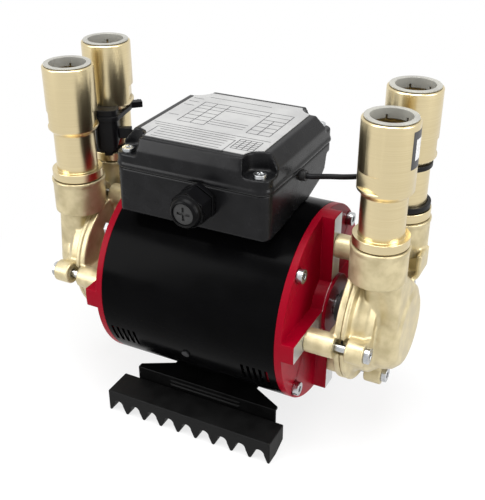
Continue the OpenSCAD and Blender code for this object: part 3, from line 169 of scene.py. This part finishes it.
def new_material(name):
    """An empty material with its output, and its node tree."""
    material = bpy.data.materials.new(name)
    material.use_nodes = True
    material.node_tree.nodes.clear()
    output = material.node_tree.nodes.new("ShaderNodeOutputMaterial")
    return material, material.node_tree, output


def add_node(tree, kind, inputs=None, **settings):
    """A node with its settings and its inputs: a number or colour is set, a socket is linked."""
    node = tree.nodes.new(kind)
    for key, value in settings.items():
        setattr(node, key, value)
    for key, value in (inputs or {}).items():
        if isinstance(value, bpy.types.NodeSocket):
            tree.links.new(value, node.inputs[key])
        else:
            node.inputs[key].default_value = value
    return node


def seen_rays(tree):
    """One for the rays of the camera and of glossy and clear surfaces, else zero."""
    path = add_node(tree, "ShaderNodeLightPath")
    first = add_node(tree, "ShaderNodeMath", {0: path.outputs["Is Camera Ray"],
                                              1: path.outputs["Is Glossy Ray"]},
                     operation="MAXIMUM")
    both = add_node(tree, "ShaderNodeMath", {0: first.outputs[0],
                                             1: path.outputs["Is Transmission Ray"]},
                    operation="MAXIMUM")
    return both.outputs[0]


floor_material, tree, output = new_material("floor_white")
floor_diffuse = add_node(tree, "ShaderNodeBsdfDiffuse", {"Color": (0.9, 0.9, 0.9, 1)})
floor_glow = add_node(tree, "ShaderNodeEmission", {"Color": (1, 1, 1, 1), "Strength": 1.0})
floor_place = add_node(tree, "ShaderNodeTexCoord")
floor_away = add_node(tree, "ShaderNodeVectorMath", {0: floor_place.outputs["Object"]},
                      operation="LENGTH")
floor_clear = add_node(tree, "ShaderNodeMapRange",
                       {"Value": floor_away.outputs["Value"], "From Min": shadow_near,
                        "From Max": shadow_far, "To Min": shadow_clear, "To Max": 1.0})
floor_share = add_node(tree, "ShaderNodeMath", {0: seen_rays(tree),
                                                1: floor_clear.outputs["Result"]},
                       operation="MULTIPLY")
floor_mix = add_node(tree, "ShaderNodeMixShader",
                     {0: floor_share.outputs[0], 1: floor_diffuse.outputs[0],
                      2: floor_glow.outputs[0]})
tree.links.new(floor_mix.outputs[0], output.inputs["Surface"])
floor.data.materials.append(floor_material)

world_strength = 0.34
world = bpy.data.worlds.new("studio")
bpy.context.scene.world = world
world.use_nodes = True
tree = world.node_tree
tree.nodes.clear()
world_light = add_node(tree, "ShaderNodeBackground",
                       {"Color": (1, 1, 1, 1), "Strength": world_strength})
world_white = add_node(tree, "ShaderNodeBackground", {"Color": (1, 1, 1, 1), "Strength": 1.0})
world_mix = add_node(tree, "ShaderNodeMixShader",
                     {0: seen_rays(tree), 1: world_light.outputs[0],
                      2: world_white.outputs[0]})
world_output = add_node(tree, "ShaderNodeOutputWorld", {"Surface": world_mix.outputs[0]})

# Each lamp: its place from the middle of the shaft, its two sides in metres and its watts.
lamps = {"overhead": ((0.0, -0.25, 1.15), (1.0, 0.6), 15),
         "right": ((1.0, -0.1, 0.45), (0.5, 0.8), 9),
         "left": ((-0.75, -0.9, 0.5), (0.5, 0.9), 9)}
for lamp_name, (place, size, power) in lamps.items():
    lamp_data = bpy.data.lights.new(lamp_name, "AREA")
    lamp_data.shape = "RECTANGLE"
    lamp_data.size, lamp_data.size_y = size
    lamp_data.energy = power
    lamp = bpy.data.objects.new(lamp_name, lamp_data)
    lamp.location = shaft + Vector(place)
    lamp.rotation_euler = (-Vector(place)).to_track_quat("-Z", "Y").to_euler()
    bpy.context.scene.collection.objects.link(lamp)

# Motor sleeve: a rolled steel tube in gloss black paint, with vent slots near its ends and a
# small screw low on the front. The paint has a faint orange peel that blurs its reflections.
# The functions that give every later piece its surface and its soft edges start here.


def surface_group():
    """Shared group: two sizes of noise as a height, and a slow one as a change of tone."""
    group = bpy.data.node_groups.new("surface_grain", "ShaderNodeTree")
    face = group.interface
    face.new_socket("Fine Scale", in_out="INPUT", socket_type="NodeSocketFloat")
    face.new_socket("Coarse Scale", in_out="INPUT", socket_type="NodeSocketFloat")
    face.new_socket("Coarse Share", in_out="INPUT", socket_type="NodeSocketFloat")
    face.new_socket("Height", in_out="OUTPUT", socket_type="NodeSocketFloat")
    face.new_socket("Tone", in_out="OUTPUT", socket_type="NodeSocketFloat")
    source = group.nodes.new("NodeGroupInput")
    sink = group.nodes.new("NodeGroupOutput")
    place = add_node(group, "ShaderNodeTexCoord")
    fine = add_node(group, "ShaderNodeTexNoise",
                    {"Vector": place.outputs["Object"], "Scale": source.outputs["Fine Scale"],
                     "Detail": 3.0, "Roughness": 0.6})
    coarse = add_node(group, "ShaderNodeTexNoise",
                      {"Vector": place.outputs["Object"],
                       "Scale": source.outputs["Coarse Scale"], "Detail": 4.0})
    height = add_node(group, "ShaderNodeMix", {"Factor": source.outputs["Coarse Share"],
                                               "A": fine.outputs["Fac"],
                                               "B": coarse.outputs["Fac"]})
    group.links.new(height.outputs["Result"], sink.inputs["Height"])
    group.links.new(coarse.outputs["Fac"], sink.inputs["Tone"])
    return group


surface_grain = surface_group()


def grained(name, dark, light, roughness, metallic=0.0, fine=1500.0, coarse=60.0, share=0.3,
            depth=0.02, specular=0.5, rough_spread=0.08, tone_range=(0.35, 0.65)):
    """A material whose colour runs between dark and light and whose bump follows the shared
    grain. depth is the height of the grain in millimetres."""
    material, tree, output = new_material(name)
    grain = add_node(tree, "ShaderNodeGroup", node_tree=surface_grain)
    grain.inputs["Fine Scale"].default_value = fine
    grain.inputs["Coarse Scale"].default_value = coarse
    grain.inputs["Coarse Share"].default_value = share
    spread = add_node(tree, "ShaderNodeMapRange",
                      {"Value": grain.outputs["Tone"], "From Min": tone_range[0],
                       "From Max": tone_range[1]})
    colour = add_node(tree, "ShaderNodeMix", {"Factor": spread.outputs["Result"]},
                      data_type="RGBA")
    colour.inputs["A"].default_value = (*dark, 1)
    colour.inputs["B"].default_value = (*light, 1)
    rough = add_node(tree, "ShaderNodeMapRange",
                     {"Value": grain.outputs["Tone"], "From Min": tone_range[0],
                      "From Max": tone_range[1], "To Min": roughness - rough_spread / 2,
                      "To Max": roughness + rough_spread / 2})
    bump = add_node(tree, "ShaderNodeBump", {"Height": grain.outputs["Height"],
                                             "Distance": depth * MM, "Strength": 1.0})
    shader = add_node(tree, "ShaderNodeBsdfPrincipled",
                      {"Base Color": colour.outputs["Result"],
                       "Roughness": rough.outputs["Result"], "Metallic": metallic,
                       "Specular IOR Level": specular, "Normal": bump.outputs["Normal"]})
    tree.links.new(shader.outputs[0], output.inputs["Surface"])
    return material


def paint(material, *nodes):
    """Gives CAD nodes one material."""
    for node in nodes:
        mesh = frame["nodes"][node].data
        mesh.materials.clear()
        mesh.materials.append(material)


weld_gap = 0.002 * MM
flat_angle = math.radians(0.6)
edge_angle = math.radians(32)


def rounded_copy(node, width, material, segments=2):
    """A copy of a CAD node with its hard edges rounded to a radius near width. Loose triangles
    are merged and flat regions dissolved first, so that only true edges take the rounding."""
    original = frame["nodes"][node]
    mesh = original.data.copy()
    mesh.name = node + "_rounded"
    shape = bmesh.new()
    shape.from_mesh(mesh)
    bmesh.ops.remove_doubles(shape, verts=shape.verts, dist=weld_gap)
    bmesh.ops.dissolve_limit(shape, angle_limit=flat_angle, verts=shape.verts,
                             edges=shape.edges)
    shape.to_mesh(mesh)
    shape.free()
    mesh.materials.clear()
    mesh.materials.append(material)
    mesh.shade_smooth()
    mesh.set_sharp_from_angle(angle=edge_angle)
    piece = bpy.data.objects.new(node + "_rounded", mesh)
    bpy.context.scene.collection.objects.link(piece)
    bevel = piece.modifiers.new("edges", "BEVEL")
    bevel.width = width
    bevel.segments = segments
    bevel.limit_method = "ANGLE"
    bevel.angle_limit = edge_angle
    bevel.use_clamp_overlap = False
    bevel.harden_normals = True
    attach(piece, original["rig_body"])
    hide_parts(node)


sleeve_paint = grained("sleeve_black", (0.0012, 0.0012, 0.0013), (0.0018, 0.0018, 0.002), 0.2,
                       fine=350, coarse=40, depth=0.01, specular=0.02)
paint(sleeve_paint, "motor_shell")
screw_dark = grained("screw_dark", (0.03, 0.03, 0.032), (0.06, 0.06, 0.062), 0.4, metallic=1.0)
paint(screw_dark, "shell_screw")

# End bells: aluminium castings in crimson paint. The outer faces of the four ribs are milled
# after painting, so they show bare metal where the pump's pillars stand on them.
rib_face = 69.8 * MM
milled_depth = 0.06 * MM
bell_edge = 0.5 * MM
bell_paint, tree, output = new_material("bell_crimson")
grain = add_node(tree, "ShaderNodeGroup", node_tree=surface_grain)
grain.inputs["Fine Scale"].default_value = 900
grain.inputs["Coarse Scale"].default_value = 70
grain.inputs["Coarse Share"].default_value = 0.4
bell_place = add_node(tree, "ShaderNodeTexCoord")
bell_axes = add_node(tree, "ShaderNodeSeparateXYZ", {0: bell_place.outputs["Object"]})
bell_out = add_node(tree, "ShaderNodeMath", {0: bell_axes.outputs["X"]}, operation="ABSOLUTE")
bell_milled = add_node(tree, "ShaderNodeMath", {0: bell_out.outputs[0], 1: rib_face,
                                                2: milled_depth}, operation="COMPARE")
bell_colour = add_node(tree, "ShaderNodeMix", {"Factor": bell_milled.outputs[0]},
                       data_type="RGBA")
bell_colour.inputs["A"].default_value = (0.22, 0.0003, 0.009, 1)
bell_colour.inputs["B"].default_value = (0.62, 0.63, 0.63, 1)
bell_rough = add_node(tree, "ShaderNodeMapRange", {"Value": bell_milled.outputs[0],
                                                   "To Min": 0.33, "To Max": 0.42})
bell_bump = add_node(tree, "ShaderNodeBump", {"Height": grain.outputs["Height"],
                                              "Distance": 0.03 * MM})
bell_shader = add_node(tree, "ShaderNodeBsdfPrincipled",
                       {"Base Color": bell_colour.outputs["Result"],
                        "Roughness": bell_rough.outputs["Result"],
                        "Metallic": bell_milled.outputs[0], "Specular IOR Level": 0.06,
                        "Normal": bell_bump.outputs["Normal"]})
tree.links.new(bell_shader.outputs[0], output.inputs["Surface"])
for bell_side in ("left", "right"):
    rounded_copy("end_bell_" + bell_side, bell_edge, bell_paint)

# Screws and bolts: zinc-plated steel with a faint haze over the plating. The through bolts hold
# the bells to the sleeve, and the others the pump ends, the lid and the foot bracket.
screw_edge = 0.25 * MM
zinc = grained("zinc_plate", (0.34, 0.35, 0.36), (0.52, 0.53, 0.54), 0.24, metallic=1.0,
               fine=2500, coarse=200, depth=0.004)
for screw_node in ("through_bolts", "pump_screws_left", "pump_screws_right", "lid_screws",
                   "foot_bracket_screws"):
    rounded_copy(screw_node, screw_edge, zinc)

# Motor inside: stacked electrical steel, varnished copper, a ground shaft and its bearings, with
# the seals, impellers and floats of the wet ends. Nothing here shows from outside, apart from
# the rubber bung of the gland, the lead grommets and a glimpse down the pipe mouths.
stack_steel = grained("stack_steel", (0.2, 0.2, 0.21), (0.3, 0.3, 0.31), 0.5, metallic=1.0)
winding_copper = grained("winding_copper", (0.35, 0.12, 0.04), (0.5, 0.2, 0.08), 0.35,
                         metallic=1.0, fine=800, depth=0.1)
ground_steel = grained("ground_steel", (0.5, 0.5, 0.52), (0.6, 0.6, 0.62), 0.25, metallic=1.0)
cast_aluminium = grained("cast_aluminium", (0.5, 0.5, 0.5), (0.62, 0.62, 0.62), 0.45,
                         metallic=1.0)
impeller_plastic = grained("impeller_plastic", (0.02, 0.02, 0.022), (0.03, 0.03, 0.033), 0.5)
seal_ceramic = grained("seal_ceramic", (0.7, 0.69, 0.65), (0.78, 0.77, 0.73), 0.35)
soft_rubber = grained("soft_rubber", (0.012, 0.012, 0.012), (0.02, 0.02, 0.02), 0.6)
paint(stack_steel, "stator_core", "rotor_core")
paint(winding_copper, "stator_windings")
paint(ground_steel, "motor_shaft", "bearing_outer_rings", "bearing_inner_rings",
      "bearing_balls", "seal_heads", "grab_rings", "float_stop_rings", "impeller_nuts")
paint(cast_aluminium, "rotor_cage", "capacitor")
paint(impeller_plastic, "impeller_left", "impeller_right")
paint(seal_ceramic, "seal_seats", "flow_float_left", "flow_float_right", "terminal_block")
paint(soft_rubber, "casing_gaskets", "pipe_o_rings", "spigot_o_rings", "water_slingers",
      "lid_gasket", "lead_grommets", "gland_insert")

# Volutes and back plates: sand-cast brass, blasted to a matt skin. The casting is the CAD solid
# with its inside corners filled and its edges softened, as metal leaves a mould.
cast_brass = grained("cast_brass", (0.44, 0.37, 0.215), (0.58, 0.50, 0.31), 0.42,
                     metallic=0.66, fine=900, coarse=130, share=0.4, depth=0.10,
                     rough_spread=0.14)


mould_cube = 0.7 * MM
casting_rounds = 3
plate_rounds = 4


def moulded_copy(node, rounds, material):
    """A copy of a CAD node remeshed in small cubes and relaxed for some rounds, which rounds
    its edges and fills its corners."""
    original = frame["nodes"][node]
    mesh = original.data.copy()
    mesh.materials.clear()
    piece = bpy.data.objects.new(node + "_moulded", mesh)
    bpy.context.scene.collection.objects.link(piece)
    weld = piece.modifiers.new("weld", "WELD")
    weld.merge_threshold = weld_gap
    remesh = piece.modifiers.new("remesh", "REMESH")
    remesh.mode = "VOXEL"
    remesh.voxel_size = mould_cube
    relax = piece.modifiers.new("relax", "SMOOTH")
    relax.factor = 0.5
    relax.iterations = rounds
    shaped = bpy.data.meshes.new_from_object(
        piece.evaluated_get(bpy.context.evaluated_depsgraph_get()))
    piece.modifiers.clear()
    piece.data = shaped
    shaped.materials.clear()
    shaped.materials.append(material)
    shaped.shade_smooth()
    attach(piece, original["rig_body"])
    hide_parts(node)


for pump_side in ("left", "right"):
    moulded_copy("volute_" + pump_side, casting_rounds, cast_brass)
    moulded_copy("back_plate_" + pump_side, plate_rounds, cast_brass)

# Couplers: brass bar turned on a lathe, so fine rings run round them and catch the lamps as
# upright streaks. Two flats for a spanner are milled low on the wide body.
coupler_edge = 0.3 * MM
collet_edge = 0.4 * MM
ring_stretch = (30, 30, 6000)
turned_brass, tree, output = new_material("turned_brass")
turned_place = add_node(tree, "ShaderNodeTexCoord")
turned_stretch = add_node(tree, "ShaderNodeMapping", {"Vector": turned_place.outputs["Object"],
                                                      "Scale": ring_stretch})
turned_rings = add_node(tree, "ShaderNodeTexNoise", {"Vector": turned_stretch.outputs[0],
                                                     "Scale": 1.0, "Detail": 2.0})
turned_colour = add_node(tree, "ShaderNodeMix", {"Factor": turned_rings.outputs["Fac"]},
                         data_type="RGBA")
turned_colour.inputs["A"].default_value = (0.58, 0.47, 0.26, 1)
turned_colour.inputs["B"].default_value = (0.80, 0.69, 0.44, 1)
turned_bump = add_node(tree, "ShaderNodeBump", {"Height": turned_rings.outputs["Fac"],
                                                "Distance": 0.012 * MM})
turned_shader = add_node(tree, "ShaderNodeBsdfPrincipled",
                         {"Base Color": turned_colour.outputs["Result"], "Roughness": 0.28,
                          "Metallic": 1.0, "Normal": turned_bump.outputs["Normal"]})
tree.links.new(turned_shader.outputs[0], output.inputs["Surface"])
collet_plastic = grained("collet_grey", (0.27, 0.265, 0.24), (0.34, 0.335, 0.30), 0.42)
for port in ("inlet", "outlet"):
    for port_side in ("left", "right"):
        rounded_copy(f"{port}_coupler_{port_side}", coupler_edge, turned_brass)
        rounded_copy(f"{port}_collet_{port_side}", collet_edge, collet_plastic)

# Sticker: a blank dark foil round part of the right inlet coupler, with a plain pale field.
# Its surface is a part of a cylinder: the radius is the coupler's and a little more.
sticker_plastic = grained("sticker_dark", (0.035, 0.035, 0.037), (0.05, 0.05, 0.053), 0.4,
                          specular=0.3)
sticker_field = grained("sticker_pale", (0.5, 0.5, 0.5), (0.58, 0.58, 0.58), 0.5, specular=0.3)
coupler_axis = np.array((100.6, -17.2))
coupler_radius = 15.5
foil_steps = 40


def foil(name, turn, height, low, high, material):
    """A closed patch round the coupler, between two turns from the front toward the right and
    two heights above the shaft. low and high are how far its faces lie off the brass."""
    angle = np.radians(np.linspace(turn[0], turn[1], foil_steps))[:, None]
    radius = coupler_radius + np.array((low, high, high, low))[None]
    z = np.array((height[0], height[0], height[1], height[1]))[None].repeat(foil_steps, 0)
    grid = np.stack([coupler_axis[0] + radius * np.sin(angle),
                     coupler_axis[1] - radius * np.cos(angle), z], -1)
    piece = surface_piece(name, grid * MM + np.array(shaft), "pump_body",
                          caps=True)
    piece.data.shade_flat()
    piece.data.materials.append(material)


foil("coupler_sticker", (66, 126), (106.5, 127), -0.05, 0.08, sticker_plastic)
foil("coupler_sticker_field", (76, 118), (111, 122.5), 0.04, 0.12, sticker_field)

# Flow sensors and ties: black nylon mouldings, each strapped to an outlet coupler by a cable tie
# round its stem. The leads' sheaths are of the same black.
sensor_edge = 0.35 * MM
sensor_plastic = grained("sensor_black", (0.004, 0.004, 0.005), (0.008, 0.008, 0.009), 0.4,
                         fine=1200, depth=0.02, specular=0.15)
for sensor_node in ("flow_sensor_left", "flow_sensor_right", "cable_ties"):
    rounded_copy(sensor_node, sensor_edge, sensor_plastic)
for lead in lead_pieces:
    lead.data.materials.append(sensor_plastic)

# Terminal box: a moulded base and a deep lid in fine-textured black plastic, with the small
# round edges that a mould gives.
base_rounds = 4
lid_rounds = 6
box_plastic = grained("box_black", (0.005, 0.005, 0.0055), (0.0075, 0.0075, 0.0082), 0.25,
                      fine=2200, coarse=120, share=0.2, depth=0.03, specular=0.14)
moulded_copy("terminal_box_base", base_rounds, box_plastic)
moulded_copy("terminal_box_lid", lid_rounds, box_plastic)

# Gland: a black nylon collar moulded for the box's front, with a nut that would clamp the mains
# cord. A rubber bung with a cross fills the nut.
gland_edge = 0.5 * MM
gland_plastic = grained("gland_black", (0.002, 0.002, 0.002), (0.0035, 0.0035, 0.004), 0.28,
                        fine=1200, depth=0.02, specular=0.06)
for gland_node in ("gland_body", "gland_nut"):
    rounded_copy(gland_node, gland_edge, gland_plastic, segments=3)

# Rating plate: printed silver foil on the lid. Its printing is kept as plain ruled lines, with
# no words: a heading line, rows down the left, two tables, a boxed note and a small square.
plate_silver = grained("plate_silver", (0.34, 0.34, 0.338), (0.40, 0.40, 0.395), 0.42,
                       fine=3000, depth=0.004, specular=0.3)
plate_ink = grained("plate_ink", (0.05, 0.05, 0.052), (0.08, 0.08, 0.083), 0.6, specular=0.2)
paint(plate_silver, "rating_plate")
rule_width = 0.5
rule_height = 0.05
# Each row: its distance down the sheet, then where it starts and ends across. Each column: its
# distance across, then where it starts and ends down.
rule_rows = [(15, 15, 57)] + [(y, 6, 13) for y in (20, 26, 32.5, 51)]
rule_rows += [(y, 16.5, 76) for y in (24, 30)] + [(y, 16.5, 34) for y in (35, 41, 47, 53, 59)]
rule_rows += [(y, 61.5, 76) for y in (36, 41.5, 47.5, 53.5, 59)]
rule_rows += [(y, 35, 58) for y in (33, 49, 52.5, 56)] + [(66, 5.5, 80), (69, 8, 60)]
rule_rows += [(72, 11.5, 61.5), (88.5, 11.5, 61.5)] + [(y, 15, 58) for y in (75, 78.5, 82, 85.5)]
rule_rows += [(y, 63.5, 77) for y in (69, 71.7, 74.4, 77.1, 79.8, 82.5)]
rule_columns = [(x, 24, 59) for x in (16.5, 25, 34, 61.5, 76)] + [(68.5, 36, 59)]
rule_columns += [(x, 72, 88.5) for x in (11.5, 61.5)]
rule_columns += [(x, 69, 82.5) for x in (63.5, 66.9, 70.2, 73.6, 77)]
sheet_corner = np.array((-46.0, 48.0))


def ruled_lines(rows, columns, width, low, high):
    """The corners and faces of one thin box for each row and column, with its two long sides
    half a width off the line and its faces at the heights low and high."""
    rows, columns = np.array(rows, float), np.array(columns, float)
    boxes = np.vstack([
        np.stack([rows[:, 1], rows[:, 2], -rows[:, 0] - width / 2, -rows[:, 0] + width / 2], 1),
        np.stack([columns[:, 0] - width / 2, columns[:, 0] + width / 2, -columns[:, 2],
                  -columns[:, 1]], 1)])
    corner = np.array([(i, j, k) for k in (0, 1) for i, j in ((0, 2), (1, 2), (1, 3), (0, 3))])
    x = boxes[:, corner[:, 0]] + sheet_corner[0]
    y = boxes[:, corner[:, 1]] + sheet_corner[1]
    z = np.where(corner[:, 2] == 0, low, high)[None].repeat(len(boxes), 0)
    face = np.array([(3, 2, 1, 0), (4, 5, 6, 7), (0, 1, 5, 4), (1, 2, 6, 5), (2, 3, 7, 6),
                     (3, 0, 4, 7)])
    faces = (np.arange(len(boxes))[:, None, None] * 8 + face).reshape(-1, 4)
    return np.stack([x, y, z], -1).reshape(-1, 3), faces


plate_top = max(Vector(c).z for c in frame["nodes"]["rating_plate"].bound_box)
rule_low = plate_top / MM - shaft.z / MM - rule_height
rule_points, rule_faces = ruled_lines(rule_rows, rule_columns, rule_width, rule_low,
                                      rule_low + 2 * rule_height)
rule_mesh = bpy.data.meshes.new("plate_rules")
rule_mesh.from_pydata((rule_points * MM + np.array(shaft)).tolist(), [], rule_faces.tolist())
rule_mesh.materials.append(plate_ink)
plate_rules = bpy.data.objects.new("plate_rules", rule_mesh)
bpy.context.scene.collection.objects.link(plate_rules)
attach(plate_rules, "pump_body")

# Foot bracket: pressed steel sheet in gloss black, screwed to the sleeve from below, and two
# moulded rubber feet with blunt teeth, each held by a turned-out lip of the sheet.
bracket_edge = 0.6 * MM
foot_edge = 0.8 * MM
bracket_paint = grained("bracket_black", (0.002, 0.002, 0.002), (0.004, 0.004, 0.004), 0.32,
                        fine=400, depth=0.02, specular=0.08)
foot_rubber = grained("foot_rubber", (0.0025, 0.0025, 0.0025), (0.0045, 0.0045, 0.0045), 0.55,
                      fine=1500, coarse=100, depth=0.04, specular=0.12)
rounded_copy("foot_bracket", bracket_edge, bracket_paint)
for foot_end in ("front", "back"):
    rounded_copy("rubber_foot_" + foot_end, foot_edge, foot_rubber, segments=3)
